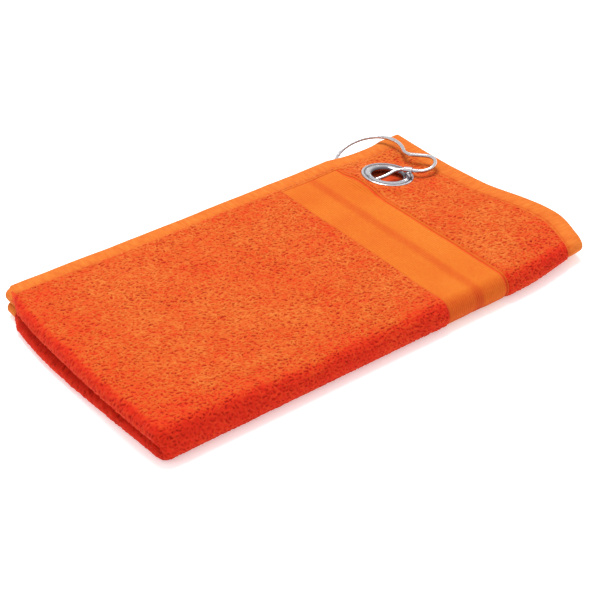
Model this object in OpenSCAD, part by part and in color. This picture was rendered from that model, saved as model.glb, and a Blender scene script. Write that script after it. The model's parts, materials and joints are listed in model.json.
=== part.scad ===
// Golf towel, folded in quarters, with a metal eyelet and a sprung wire hook.
// X runs along the folded length: the left-hand end is the crosswise fold, and the
// right-hand end is the hemmed short edge that carries the eyelet.
// Y runs across: -Y is the long fold, +Y is the side of the four long hems.
// Z is up, and z = 0 is the surface that the towel lies on.
// The four layers are, from the bottom: outer lower, inner lower, inner upper, outer upper.
// The lower two and the upper two are mirror images about the middle plane, and open like
// a book about the long fold.

/* [Folded towel] */
// Length of the folded towel, half of the flat length, mm
folded_l = 250; // [230:5:280]
// Width of the folded towel, half of the flat width, mm
folded_w = 150; // [140:5:180]
// Thickness of one layer of terry, pile included, mm
terry_t = 3.4; // [3.2:0.1:3.8]
// Air between the outer and the inner layer of each half, mm
layer_gap = 1.2; // [1.2:0.1:1.6]
// Gap between the two halves at the middle plane, mm
half_gap = 0.3; // [0.2:0.1:0.5]

/* [Hems and border] */
// Width of the long hems, mm
side_hem_w = 10.5; // [8:0.5:11]
// Width of the short hems, mm
end_hem_w = 11; // [8:0.5:12]
// Thickness of a hem, mm
hem_t = 2; // [1.6:0.1:2.2]
// Width of the flat woven border, mm
border_w = 39.5; // [30:0.5:50]
// Distance from the short edge to the border, mm
border_edge = 51; // [50:1:56]
// Thickness of the flat woven border, mm
border_t = 2.6; // [2.2:0.1:2.8]
// Length of one stitch, mm
stitch_l = 2.6; // [2:0.2:3.4]
// Distance from one stitch to the next, mm
stitch_pitch = 4; // [3.8:0.2:6]
// Thickness of the sewing thread, mm
thread_d = 0.5; // [0.3:0.1:0.6]

/* [Eyelet] */
// Radius of the eyelet's throat, mm
eyelet_throat_r = 8.5; // [8.5:0.1:8.8]
// Radius of the eyelet's flange and washer, mm
eyelet_flange_r = 14.5; // [14.2:0.1:15]
// Thickness of the eyelet's sheet metal, mm
eyelet_sheet_t = 0.5; // [0.4:0.1:0.6]
// Thickness of the cloth clamped in the eyelet, mm
clamped_t = 2; // [1.8:0.1:2.1]
// Tilt of the eyelet, towards the short edge, degrees
eyelet_tilt = 9; // [8:0.5:10]

/* [Hook] */
// Diameter of the hook's wire, mm
wire_d = 2.2; // [1.8:0.1:2.2]
// Radius of the hook's big loop, to the middle of the wire, mm
big_loop_r = 19.5; // [19:0.1:19.8]
// Half width of the hook's small loop, to the middle of the wire, mm
small_loop_r = 6.6; // [6.2:0.1:6.8]
// Distance between the centres of the two loops, mm
loop_spacing = 32; // [31:0.5:34]
// Radius of the bend between the two loops, mm
neck_r = 7; // [6.8:0.1:7.2]
// Tilt of the hook against the towel, degrees
hook_tilt = 13; // [13:0.1:13.3]
// Direction of the hook's long axis, from the short edge's normal, degrees
hook_turn = 120; // [119:0.5:121]

/* [Hidden] */

$fn = 64;
far = 200;
eps = 0.01;

// Heights above the middle plane
half_g = half_gap / 2;
half_h = half_g + 2 * terry_t + layer_gap;
outer_mid = half_h - terry_t / 2;
fold_r = half_h - half_g;

// Places along X and Y
left_x = -folded_l / 2;
right_x = folded_l / 2;
near_y = -folded_w / 2;
back_y = folded_w / 2;
fold_y = near_y + fold_r;
terry_back_y = back_y - side_hem_w;
border_right_x = right_x - border_edge;
border_left_x = border_right_x - border_w;
end_hem_x = right_x - end_hem_w;
end_fold_r = fold_r / 2;
end_fold_x = left_x + end_fold_r;
end_fold_z = half_g + end_fold_r;
seam_inset = 1.5;
seam_x0 = end_fold_x + 2;

// The eyelet and the hook that goes through it
eyelet_x = 90.8;
eyelet_y = 42.2;
eyelet_z = half_h + outer_mid;
patch_r = eyelet_flange_r + 2;
flange_round = clamped_t / 2 + eyelet_sheet_t;
roll_round = clamped_t / 2 + 2 * eyelet_sheet_t;
roll_w = 1;
cloth_hole_r = eyelet_throat_r + flange_round;
pressed_t = 2.4;
pressed_r = 46;
press_x = 88;
press_y = 57;
press_r = 34;
press_z = 1;
scallop_x = 93;
scallop_r = 60;
scallop_depth = 3;
hook_x = 92.5;
hook_offset_x = 2.1;
hook_y = 62.4;
wire_r = wire_d / 2;
bead_r = wire_r + 0.05;
bead_gap = 0.15;
pivot_ball_r = wire_r + 0.1;
neck_y = small_loop_r + neck_r;
neck_x = -sqrt(pow(big_loop_r + neck_r, 2) - pow(neck_y, 2));
neck_turn = atan2(neck_y, -neck_x);
gate_end_x = -24.4;
catch_r = 1.8;
catch_bore_r = wire_r + 0.25;
catch_open_x = -23.2;
catch_floor_x = -25.8;
catch_end_x = -28;
pivot_gap = 0.3;

module upper_half() {
    translate([0, 0, half_h]) children();
}

module lower_half() {
    translate([0, 0, half_h]) mirror([0, 0, 1]) children();
}

// Cross-section of one layer, from the long fold to y1: mid is the height of the layer's
// middle above the middle plane, and t is its thickness
module layer_outline(y1, mid, t) {
    bend = mid - half_g;
    translate([fold_y, mid - t / 2]) square([y1 - fold_y, t]);
    intersection() {
        translate([fold_y, half_g]) difference() {
            circle(bend + t / 2);
            if (bend > t / 2) circle(bend - t / 2);
        }
        translate([near_y - 1, half_g]) square([fold_r + 1, far]);
    }
}

module layer(x0, x1, y1, mid, t) {
    translate([x0, 0, 0]) rotate([90, 0, 90]) linear_extrude(x1 - x0) layer_outline(y1, mid, t);
}

module outer_layer(x0, x1, y1, t) {
    layer(x0, x1, y1, outer_mid, t);
}

// The inner layer's thinner zones lie on the middle plane
module inner_layer(x0, x1, y1, t) {
    layer(x0, x1, y1, half_g + t / 2, t);
}

// The crosswise fold: a half ring from the outer to the inner layer, closed at the corner
module end_fold() {
    translate([end_fold_x, 0, end_fold_z]) rotate([90, 0, 0]) {
        translate([0, 0, -terry_back_y]) linear_extrude(terry_back_y - fold_y) end_fold_ring();
    }
    intersection() {
        translate([end_fold_x, 0, end_fold_z]) rotate([90, 0, 0])
            translate([0, 0, -fold_y]) cylinder(r = end_fold_r, h = fold_r);
        translate([left_x, fold_y, half_g]) rotate([0, 90, 0]) cylinder(r = fold_r, h = end_fold_r);
        translate([left_x, near_y, half_g]) cube([end_fold_r, fold_r, fold_r]);
    }
}

module end_fold_ring() {
    intersection() {
        difference() {
            circle(end_fold_r);
            circle(layer_gap / 2);
        }
        translate([-far, -far / 2]) square([far, far]);
    }
}

// A long hem runs along the outer layer, round the crosswise fold and back along the inner
module side_hem() {
    inner_mid = half_g + hem_t / 2;
    bend = (outer_mid - inner_mid) / 2;
    translate([end_fold_x, terry_back_y, outer_mid - hem_t / 2])
        cube([end_hem_x - end_fold_x, side_hem_w, hem_t]);
    translate([end_fold_x, terry_back_y, half_g])
        cube([end_hem_x - end_fold_x, side_hem_w, hem_t]);
    translate([end_fold_x, back_y, inner_mid + bend]) rotate([90, 0, 0])
        linear_extrude(side_hem_w) intersection() {
            difference() {
                circle(bend + hem_t / 2);
                circle(bend - hem_t / 2);
            }
            translate([-far, -far / 2]) square([far, far]);
        }
}

// A row of stitches along X that lies on a surface at height z
module stitch_row_x(x0, x1, y, z) {
    for (x = [x0 : stitch_pitch : x1 - stitch_l])
        translate([x, y, z + thread_d / 2]) rotate([0, 90, 0]) cylinder(d = thread_d, h = stitch_l);
}

module stitch_row_y(y0, y1, x, z) {
    for (y = [y0 : stitch_pitch : y1 - stitch_l])
        translate([x, y, z + thread_d / 2]) rotate([-90, 0, 0]) cylinder(d = thread_d, h = stitch_l);
}

module side_stitching() {
    seam_y = terry_back_y + seam_inset;
    stitch_row_x(seam_x0, end_hem_x, seam_y, outer_mid + hem_t / 2);
    stitch_row_x(seam_x0, end_hem_x, seam_y, half_g + hem_t);
}

module end_stitching() {
    seam_x = end_hem_x + seam_inset;
    stitch_row_y(fold_y, back_y, seam_x, outer_mid + hem_t / 2);
    stitch_row_y(fold_y, back_y, seam_x, half_g + hem_t);
}

// The shallow bite that the hook draws into the outer layer's edge
module scallop() {
    translate([scallop_x, back_y + scallop_r - scallop_depth, 0])
        cylinder(r = scallop_r, h = far, $fn = 128);
}

// Where the hook and the washer press the inner layer down
module press_room() {
    translate([press_x, press_y, half_g + press_z]) cylinder(r = press_r, h = terry_t);
}

module eyelet_place() {
    translate([eyelet_x, eyelet_y, outer_mid]) rotate([0, eyelet_tilt, 0]) children();
}

// The terry beside the border, pressed thin round the eyelet and tilted with it
module eyelet_strip() {
    difference() {
        union() {
            difference() {
                outer_layer(border_right_x, end_hem_x, terry_back_y, terry_t);
                translate([eyelet_x, eyelet_y, outer_mid + pressed_t / 2])
                    cylinder(r = pressed_r, h = terry_t);
                translate([eyelet_x, eyelet_y, outer_mid - pressed_t / 2 - terry_t])
                    cylinder(r = pressed_r, h = terry_t);
            }
            eyelet_place() translate([0, 0, -clamped_t / 2]) cylinder(r = patch_r, h = clamped_t);
        }
        eyelet_place() translate([0, 0, -far / 2]) cylinder(r = cloth_hole_r, h = far);
        eyelet_place() translate([0, 0, clamped_t / 2]) cylinder(r = patch_r, h = far);
        eyelet_place() translate([0, 0, -clamped_t / 2 - far]) cylinder(r = patch_r, h = far);
    }
}

// Round shoulders of the barrel: the upper one runs into the flange, the lower into the roll
module shoulder(r, top) {
    intersection() {
        translate([eyelet_throat_r + r, 0]) difference() {
            circle(r);
            circle(r - eyelet_sheet_t);
        }
        translate([eyelet_throat_r - 1, top ? 0 : -far]) square([r + 1, far]);
    }
}

module eyelet() {
    flange_z = flange_round - eyelet_sheet_t;
    flange_w = eyelet_flange_r - cloth_hole_r - eyelet_sheet_t / 2;
    color(metal) upper_half() eyelet_place() rotate_extrude() {
        shoulder(flange_round, true);
        translate([cloth_hole_r, flange_z]) square([flange_w, eyelet_sheet_t]);
        translate([cloth_hole_r + flange_w, flange_z + eyelet_sheet_t / 2]) circle(d = eyelet_sheet_t);
        shoulder(roll_round, false);
        translate([eyelet_throat_r + roll_round, -roll_round]) square([roll_w, eyelet_sheet_t]);
    }
}

module eyelet_washer() {
    inner_r = eyelet_throat_r + roll_round;
    color(metal) upper_half() eyelet_place()
        translate([0, 0, -roll_round + eyelet_sheet_t]) difference() {
            cylinder(r = eyelet_flange_r, h = eyelet_sheet_t);
            translate([0, 0, -eps]) cylinder(r = inner_r, h = eyelet_sheet_t + 2 * eps);
        }
}

// The hook lies in one plane: its x runs from the small loop to the big loop
module hook_place() {
    translate([hook_x, 0, eyelet_z]) rotate([0, -hook_tilt, 0])
        translate([hook_offset_x, hook_y, 0]) rotate([0, 0, hook_turn]) children();
}

// A bend of the wire, which stops just short of the beads at its ends
module wire_arc(x, y, r, from, turn) {
    ease = 2 * asin(bead_gap / 2 / r);
    translate([x, y, 0]) rotate([0, 0, from + ease]) rotate_extrude(angle = turn - 2 * ease)
        translate([r, 0]) circle(wire_r, $fn = 32);
}

module wire_straight(x0, x1, y) {
    translate([x0, y, 0]) rotate([0, 90, 0]) cylinder(r = wire_r, h = x1 - x0, $fn = 32);
}

// A bead where one stretch of the wire meets the next, a hair wider than the wire
module wire_bead(x, y) {
    translate([x, y, 0]) rotate([90, 0, 0]) sphere(bead_r, $fn = 32);
}

module hook_wire() {
    gap_turn = 2 * asin((pivot_ball_r + pivot_gap) / 2 / big_loop_r);
    color(metal) hook_place() {
        wire_arc(0, 0, big_loop_r, 180 + neck_turn, 180 - neck_turn - gap_turn);
        wire_bead(-big_loop_r * cos(neck_turn), -big_loop_r * sin(neck_turn));
        wire_arc(neck_x, -neck_y, neck_r, neck_turn, 90 - neck_turn);
        wire_bead(neck_x, -small_loop_r);
        wire_straight(-loop_spacing + bead_gap, neck_x - bead_gap, -small_loop_r);
        wire_bead(-loop_spacing, -small_loop_r);
        wire_arc(-loop_spacing, 0, small_loop_r, 90, 180);
        wire_bead(-loop_spacing, small_loop_r);
        wire_straight(-loop_spacing + bead_gap, catch_end_x, small_loop_r);
    }
}

// A slotted sleeve on the wire's end, which holds the gate's tip from outside
module hook_catch() {
    color(metal) hook_place() translate([0, small_loop_r, 0]) difference() {
        translate([catch_end_x, 0, 0]) rotate([0, 90, 0])
            cylinder(r = catch_r, h = catch_open_x - catch_end_x, $fn = 32);
        translate([catch_floor_x, 0, 0]) rotate([0, 90, 0])
            cylinder(r = catch_bore_r, h = far, $fn = 32);
        translate([catch_floor_x, -far, -catch_bore_r]) cube([far, far, 2 * catch_bore_r]);
    }
}

// The sprung arm: it turns about the ball at the big loop's far end
module hook_gate() {
    color(metal) hook_place() {
        translate([big_loop_r, 0, 0]) sphere(pivot_ball_r, $fn = 32);
        wire_arc(0, 0, big_loop_r, 0, 180 - neck_turn);
        wire_bead(-big_loop_r * cos(neck_turn), big_loop_r * sin(neck_turn));
        wire_arc(neck_x, neck_y, neck_r, 270, 90 - neck_turn);
        wire_bead(neck_x, small_loop_r);
        wire_straight(gate_end_x, neck_x - bead_gap, small_loop_r);
    }
}

terry = "#f0642a";
flat_weave = "#f58a3c";
thread = "#f7964e";
metal = "#d6d8dc";

module outer_terry_upper() {
    color(terry) upper_half() outer_layer(end_fold_x, border_left_x, terry_back_y, terry_t);
}

module outer_terry_lower() {
    color(terry) lower_half() outer_layer(end_fold_x, border_left_x, terry_back_y, terry_t);
}

module inner_terry_upper() {
    color(terry) upper_half() inner_layer(end_fold_x, border_left_x, terry_back_y, terry_t);
}

module inner_terry_lower() {
    color(terry) lower_half() inner_layer(end_fold_x, border_left_x, terry_back_y, terry_t);
}

module end_fold_upper() {
    color(terry) upper_half() end_fold();
}

module end_fold_lower() {
    color(terry) lower_half() end_fold();
}

module outer_border_upper() {
    color(flat_weave) upper_half()
        outer_layer(border_left_x, border_right_x, terry_back_y, border_t);
}

module outer_border_lower() {
    color(flat_weave) lower_half()
        outer_layer(border_left_x, border_right_x, terry_back_y, border_t);
}

module inner_border_upper() {
    color(flat_weave) upper_half() difference() {
        inner_layer(border_left_x, border_right_x, terry_back_y, border_t);
        press_room();
    }
}

module inner_border_lower() {
    color(flat_weave) lower_half()
        inner_layer(border_left_x, border_right_x, terry_back_y, border_t);
}

module eyelet_strip_upper() {
    color(terry) upper_half() eyelet_strip();
}

module outer_strip_lower() {
    color(terry) lower_half() outer_layer(border_right_x, end_hem_x, terry_back_y, terry_t);
}

module inner_strip_upper() {
    color(terry) upper_half() difference() {
        inner_layer(border_right_x, end_hem_x, terry_back_y, terry_t);
        press_room();
    }
}

module inner_strip_lower() {
    color(terry) lower_half() inner_layer(border_right_x, end_hem_x, terry_back_y, terry_t);
}

module outer_end_hem_upper() {
    color(flat_weave) upper_half() outer_layer(end_hem_x, right_x, back_y, hem_t);
}

module outer_end_hem_lower() {
    color(flat_weave) lower_half() outer_layer(end_hem_x, right_x, back_y, hem_t);
}

module inner_end_hem_upper() {
    color(flat_weave) upper_half() difference() {
        inner_layer(end_hem_x, right_x, back_y, hem_t);
        press_room();
    }
}

module inner_end_hem_lower() {
    color(flat_weave) lower_half() inner_layer(end_hem_x, right_x, back_y, hem_t);
}

module side_hem_upper() {
    color(flat_weave) upper_half() difference() {
        side_hem();
        translate([0, 0, outer_mid - hem_t]) scallop();
        press_room();
    }
}

module side_hem_lower() {
    color(flat_weave) lower_half() side_hem();
}

module side_stitching_upper() {
    color(thread) upper_half() difference() {
        side_stitching();
        press_room();
    }
}

module side_stitching_lower() {
    color(thread) lower_half() side_stitching();
}

module end_stitching_upper() {
    color(thread) upper_half() difference() {
        end_stitching();
        press_room();
    }
}

module end_stitching_lower() {
    color(thread) lower_half() end_stitching();
}

outer_terry_upper();
inner_terry_upper();
end_fold_upper();
outer_border_upper();
inner_border_upper();
eyelet_strip_upper();
inner_strip_upper();
outer_end_hem_upper();
inner_end_hem_upper();
side_hem_upper();
side_stitching_upper();
end_stitching_upper();
outer_terry_lower();
inner_terry_lower();
end_fold_lower();
outer_border_lower();
inner_border_lower();
outer_strip_lower();
inner_strip_lower();
outer_end_hem_lower();
inner_end_hem_lower();
side_hem_lower();
side_stitching_lower();
end_stitching_lower();
eyelet();
eyelet_washer();
hook_wire();
hook_catch();
hook_gate();
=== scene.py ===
"""Golf towel folded in quarters: terry pile, flat woven border, rolled hems, eyelet and hook."""
import json
import math
import bmesh
import bpy
import numpy as np
from mathutils import Matrix, Vector


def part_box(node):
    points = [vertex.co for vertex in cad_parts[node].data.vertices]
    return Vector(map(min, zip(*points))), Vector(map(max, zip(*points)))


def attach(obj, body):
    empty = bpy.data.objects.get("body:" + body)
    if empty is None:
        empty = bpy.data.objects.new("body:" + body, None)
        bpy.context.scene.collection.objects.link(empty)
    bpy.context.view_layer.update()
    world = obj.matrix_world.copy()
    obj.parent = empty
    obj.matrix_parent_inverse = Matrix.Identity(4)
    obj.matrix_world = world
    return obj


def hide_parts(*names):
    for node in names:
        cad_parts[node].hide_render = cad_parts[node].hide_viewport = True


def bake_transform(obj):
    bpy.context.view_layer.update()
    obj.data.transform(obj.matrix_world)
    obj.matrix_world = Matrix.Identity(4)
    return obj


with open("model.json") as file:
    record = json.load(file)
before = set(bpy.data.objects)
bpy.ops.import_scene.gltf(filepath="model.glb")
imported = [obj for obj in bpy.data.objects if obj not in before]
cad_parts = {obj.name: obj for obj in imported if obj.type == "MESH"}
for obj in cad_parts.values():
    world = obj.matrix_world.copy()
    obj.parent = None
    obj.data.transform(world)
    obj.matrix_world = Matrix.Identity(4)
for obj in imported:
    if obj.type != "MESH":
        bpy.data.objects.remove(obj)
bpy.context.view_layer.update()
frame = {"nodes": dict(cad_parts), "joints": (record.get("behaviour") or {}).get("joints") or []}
MM = 0.001

# ---- sizes, in mm --------------------


def box(node):
    """The two corners of a CAD node's box, in mm."""
    lo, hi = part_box(node)
    return np.array(lo) / MM, np.array(hi) / MM


joints = {j["name"]: j for j in frame["joints"]}
top_lo, top_hi = box("outer_terry_upper")
in_lo, in_hi = box("inner_terry_upper")
bord_lo, bord_hi = box("outer_border_upper")
hem_lo, hem_hi = box("outer_end_hem_upper")
side_hi = box("side_hem_upper")[1]
ring_lo = box("end_fold_upper")[0]

# Edges and heights. Names with H_ are heights above MID, the plane where the two halves meet.
MID = joints["long_fold"]["pos_m"][2] / MM
TERRY_T = in_hi[2] - in_lo[2]
HEM_T = 2.2
H_OUT = top_hi[2] - MID - TERRY_T / 2  # middle of the outer layer
H_IN = in_lo[2] - MID + TERRY_T / 2  # middle of the inner layer
HEM_IN = 0.15 + HEM_T / 2  # middle of the inner layer's hems
X_LEFT = top_lo[0]  # the crosswise fold starts here
X_BORD0, X_BORD1 = bord_lo[0], bord_hi[0]
X_HEM, X_RIGHT = hem_lo[0], hem_hi[0]
Y_NEAR = top_lo[1]
Y_TERRY = top_hi[1]  # the side hem starts here
Y_BACK = side_hi[1]
Y_INNER0 = Y_NEAR + 2.0  # the inner faces end this near to the long fold

# The two folds. RING_ is the crosswise fold, at the left.
FOLD_R = top_hi[2] - MID
Y_FOLD = Y_NEAR + FOLD_R - 0.15
RING_R = (H_OUT - H_IN) / 2  # at the middle of the cloth
RING_OUT_R = X_LEFT - ring_lo[0]
RING_LEN = math.pi * RING_OUT_R

# Lengths s along the outer layer, from the pile's back edge over the long fold and back below.
FLAT_LEN = Y_TERRY - Y_FOLD
WRAP_LEN = math.pi * FOLD_R
S_TOTAL = 2 * FLAT_LEN + WRAP_LEN
SPILL = 3.0  # pile that runs on under the side hem
WRAP_REACH = 7  # the fold's own pad of pile reaches this far into each flat part

# Pads of pile.
PILE_BASE = TERRY_T / 2 - 0.45  # roots of the loops above the middle of the layer
PAD_DEPTH = 1.5
PILE_RELIEF = 0.95
BACK_STEP = 4  # a pad's hidden back has one point for so many of its front
UNDER, UNDER_STRIP = 1.2, 0.6  # pile that runs on under the border and the end hem
SIDE_RIM, BACK_RIM = 1.4, 1.6  # width over which pile sinks at the edge of a pad
SPLIT_X = -42  # two pads meet here on top
FINE, ROUGH = ((0.42, 0.95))  # spacing of the points, seen and hidden

# Hems: half widths, and where the seam runs on them.
SIDE_W = (Y_BACK - Y_TERRY) / 2 + 0.5
END_W = (X_RIGHT - X_HEM) / 2 + 0.5
HEM_STEP = 0.6  # spacing of the points along a hem
SEAM_AT = 0.72  # share of the half width
SEAM_DIP = 0.86  # share of the thickness that the thread leaves
STITCH, STITCH_PITCH, THREAD_R = 2.7, 4.0, 0.24

# The eyelet and the hook.
EYE = np.array(joints["hook_swivel"]["pos_m"]) / MM
EYE_TILT = math.radians(9)
EYE_FLANGE_R = 14.5
EYE_THROAT_R = 8.5
EYE_S = Y_TERRY - EYE[1]  # the eyelet's middle as a length along the cloth
HOLE_R = EYE_THROAT_R + 0.9  # hole in the cloth
WIRE_R = 1.0

SEED = 20


# ---- small helpers --------------------


def smooth(t):
    t = np.clip(t, 0, 1)
    return t * t * (3 - 2 * t)


def noise(u, v, scale, seed):
    """Smooth value noise from -1 to 1."""
    size, positive = 256, 1000.0
    table = np.random.default_rng(seed).uniform(-1, 1, (size, size))
    a, b = u / scale + positive, v / scale + positive
    i, j = np.floor(a).astype(int), np.floor(b).astype(int)
    fa, fb = smooth(a - i), smooth(b - j)

    def along(row):
        return table[i % size, row % size] * (1 - fa) + table[(i + 1) % size, row % size] * fa

    return along(j) * (1 - fb) + along(j + 1) * fb


def terry(u, v, seed, pitch=1.15, loop=1.25, thick=0.46):
    """Height of the tallest yarn loop over each point, from 0 to 1: loops lie on a jittered grid.
    pitch is the grid's, and loop and thick are half the length and half the width of a loop, in mm."""
    rng = np.random.default_rng(seed)
    size = 512
    jx, jy = rng.uniform(-0.5, 0.5, (2, size, size)) * pitch * 0.9
    turn = rng.normal(0.62, 0.55, (size, size))
    high = rng.uniform(0.45, 1.0, (size, size))
    half = rng.uniform(0.5, 1.0, (size, size)) * loop
    i0, j0 = np.floor(u / pitch).astype(int), np.floor(v / pitch).astype(int)
    best = np.zeros_like(u)
    for di in range(-1, 3):
        for dj in range(-1, 3):
            i, j = (i0 + di) % size, (j0 + dj) % size
            du = u - ((i0 + di) * pitch + jx[i, j])
            dv = v - ((j0 + dj) * pitch + jy[i, j])
            c, s = np.cos(turn[i, j]), np.sin(turn[i, j])
            along, across = du * c + dv * s, -du * s + dv * c
            over = np.maximum(np.abs(along) - half[i, j], 0)
            d2 = (over * over + across * across) / (thick * thick)
            arch = 1 - 0.35 * (along / (half[i, j] + thick)) ** 2
            best = np.maximum(best, high[i, j] * arch * np.sqrt(np.maximum(1 - d2, 0)))
    return best


def mesh_object(name, verts, quads, tris, mat, attrs):
    """A smooth-shaded mesh from points in mm, with one value per point for each of attrs."""
    me = bpy.data.meshes.new(name)
    nq, nt = len(quads), len(tris)
    me.vertices.add(len(verts))
    me.vertices.foreach_set("co", (verts * MM).astype(np.float32).ravel())
    loops = np.concatenate([np.asarray(quads).ravel(), np.asarray(tris).ravel()]).astype(np.int32)
    me.loops.add(len(loops))
    me.loops.foreach_set("vertex_index", loops)
    me.polygons.add(nq + nt)
    starts = np.concatenate([np.arange(nq) * 4, nq * 4 + np.arange(nt) * 3]).astype(np.int32)
    me.polygons.foreach_set("loop_start", starts)
    me.polygons.foreach_set("use_smooth", np.ones(nq + nt, bool))
    for key, value in attrs.items():
        a = me.attributes.new(key, "FLOAT", "POINT")
        a.data.foreach_set("value", np.asarray(value, np.float32).ravel())
    me.update(calc_edges=True)
    me.validate()
    me.materials.append(mat)
    obj = bpy.data.objects.new(name, me)
    bpy.context.collection.objects.link(obj)
    return obj


def grid_quads(nv, nu, base=0):
    i = np.arange(nv * nu).reshape(nv, nu) + base
    return np.stack([i[:-1, :-1], i[:-1, 1:], i[1:, 1:], i[1:, :-1]], -1).reshape(-1, 4)


def normals(p):
    du = np.gradient(p, axis=1)
    dv = np.gradient(p, axis=0)
    n = np.cross(du, dv)
    length = np.linalg.norm(n, axis=2, keepdims=True)
    return n / np.maximum(length, 1e-9)


def rim_loop(nv, nu):
    """Indices round the edge of a grid, counter-clockwise in (u, v)."""
    i = np.arange(nv * nu).reshape(nv, nu)
    return np.concatenate([i[0, :-1], i[:-1, -1], i[-1, :0:-1], i[:0:-1, 0]])


def skin(name, p, height, depth, mat, attrs, flip=False):
    """A closed pad: p is a fine grid raised by height along its normals, and its back is a coarse
    grid, depth below p. Grid sizes are multiples of BACK_STEP, plus one."""
    k = BACK_STEP
    n = normals(p) * (-1 if flip else 1)
    front = p + n * height[..., None]
    nv, nu = p.shape[:2]
    back = (p - n * depth)[::k, ::k]
    bv, bu = back.shape[:2]
    verts = np.concatenate([front.reshape(-1, 3), back.reshape(-1, 3)])
    front_quads = grid_quads(nv, nu)
    back_quads = grid_quads(bv, bu, nv * nu)[:, ::-1]
    fine = rim_loop(nv, nu)
    coarse = rim_loop(bv, bu) + nv * nu
    around = len(fine)
    tris = []
    for j in range(len(coarse)):
        c0, c1 = coarse[j], coarse[(j + 1) % len(coarse)]
        for i in range(k):
            f0, f1 = fine[(j * k + i) % around], fine[(j * k + i + 1) % around]
            tris.append((f1, f0, c0))
        tris.append((fine[(j * k + k) % around], c0, c1))
    tris = np.array(tris)
    if flip:
        front_quads, back_quads, tris = front_quads[:, ::-1], back_quads[:, ::-1], tris[:, ::-1]
    full = {
        key: np.concatenate([value.ravel(), value[::k, ::k].ravel() * 0])
        for key, value in attrs.items()
    }
    return mesh_object(name, verts, np.concatenate([front_quads, back_quads]), tris, mat, full)


def tube(name, rings, mat, attrs):
    """A tube through rings of points, shape (n, m, 3), closed by a fan of triangles at each end."""
    n, m = rings.shape[:2]
    i = np.arange(n * m).reshape(n, m)
    j = np.roll(i, -1, axis=1)
    quads = np.stack([i[:-1], j[:-1], j[1:], i[1:]], -1).reshape(-1, 4)
    verts = np.concatenate([rings.reshape(-1, 3), rings[0].mean(0)[None], rings[-1].mean(0)[None]])
    first, last = n * m, n * m + 1
    tris = [(i[0, (q + 1) % m], i[0, q], first) for q in range(m)]
    tris += [(i[-1, q], i[-1, (q + 1) % m], last) for q in range(m)]
    full = {key: np.concatenate([value.ravel(), [0, 0]]) for key, value in attrs.items()}
    return mesh_object(name, verts, quads, np.array(tris), mat, full)


# ---- materials --------------------


def new_material(name):
    m = bpy.data.materials.new(name)
    m.use_nodes = True
    nodes, links = m.node_tree.nodes, m.node_tree.links
    return m, nodes, links, nodes["Principled BSDF"]


def ramp(nodes, stops):
    """A colour ramp through (position, colour) stops."""
    node = nodes.new("ShaderNodeValToRGB")
    elements = node.color_ramp.elements
    while len(elements) < len(stops):
        elements.new(0.5)
    for element, (position, colour) in zip(elements, stops):
        element.position = position
        element.color = (*colour, 1)
    return node


def texture_noise(nodes, links, scale, detail):
    """Noise fixed to the object's own coordinates."""
    coord = nodes.new("ShaderNodeTexCoord")
    texture = nodes.new("ShaderNodeTexNoise")
    texture.inputs["Scale"].default_value = scale
    texture.inputs["Detail"].default_value = detail
    links.new(coord.outputs["Object"], texture.inputs["Vector"])
    return texture.outputs["Fac"]


def times_plus(nodes, links, value, factor, add):
    """value * factor + add, where value and add are sockets."""
    node = nodes.new("ShaderNodeMath")
    node.operation = "MULTIPLY_ADD"
    node.inputs[1].default_value = factor
    links.new(value, node.inputs[0])
    links.new(add, node.inputs[2])
    return node.outputs[0]


def bump_from(nodes, links, height, strength, distance, shader):
    bump = nodes.new("ShaderNodeBump")
    bump.inputs["Strength"].default_value = strength
    bump.inputs["Distance"].default_value = distance
    links.new(height, bump.inputs["Height"])
    links.new(bump.outputs["Normal"], shader.inputs["Normal"])


def darken(nodes, links, colour, target, dark):
    """Paint shade: multiply a colour by dark wherever the mesh's own painted shade attribute is 1."""
    painted_shade = nodes.new("ShaderNodeAttribute")
    painted_shade.attribute_name = "painted_shade"
    shade = nodes.new("ShaderNodeMix")
    shade.data_type = "RGBA"
    shade.blend_type = "MULTIPLY"
    shade.inputs["B"].default_value = dark
    links.new(painted_shade.outputs["Fac"], shade.inputs["Factor"])
    links.new(colour, shade.inputs["A"])
    links.new(shade.outputs["Result"], target)


# Dark colours multiplied in as painted shade: between the loops of the cloth, in the metal's grooves and
# under the wire.
CLOTH_PAINTED_SHADE = (0.47, 0.38, 0.37, 1)
METAL_PAINTED_SHADE = (0.13, 0.11, 0.13, 1)
SHEEN_TINT = (1.0, 0.55, 0.3, 1)
GRAIN = 0.25  # how much the fibres' noise moves the tone


def cloth_material(name, stops, sheen, fibre_scale, fibre_bump, patch, rough=0.95):
    """Cloth coloured by the mesh's own pile attribute, with broad patches and fine fibres on it."""
    m, nodes, links, shader = new_material(name)
    pile = nodes.new("ShaderNodeAttribute")
    pile.attribute_name = "pile"
    broad = texture_noise(nodes, links, 45, 4)
    grain = texture_noise(nodes, links, fibre_scale, 3)
    tone = times_plus(nodes, links, broad, patch, pile.outputs["Fac"])
    tone = times_plus(nodes, links, grain, GRAIN, tone)
    centred = nodes.new("ShaderNodeMath")
    centred.operation = "SUBTRACT"
    centred.inputs[1].default_value = 0.5 * (patch + GRAIN)
    links.new(tone, centred.inputs[0])
    colour = ramp(nodes, stops)
    links.new(centred.outputs[0], colour.inputs["Fac"])
    darken(nodes, links, colour.outputs["Color"], shader.inputs["Base Color"], CLOTH_PAINTED_SHADE)
    shader.inputs["Roughness"].default_value = rough
    shader.inputs["Specular IOR Level"].default_value = 0.15
    shader.inputs["Sheen Weight"].default_value = sheen
    shader.inputs["Sheen Roughness"].default_value = 0.45
    shader.inputs["Sheen Tint"].default_value = SHEEN_TINT
    bump_from(nodes, links, grain, fibre_bump, 0.0003, shader)
    return m
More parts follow.
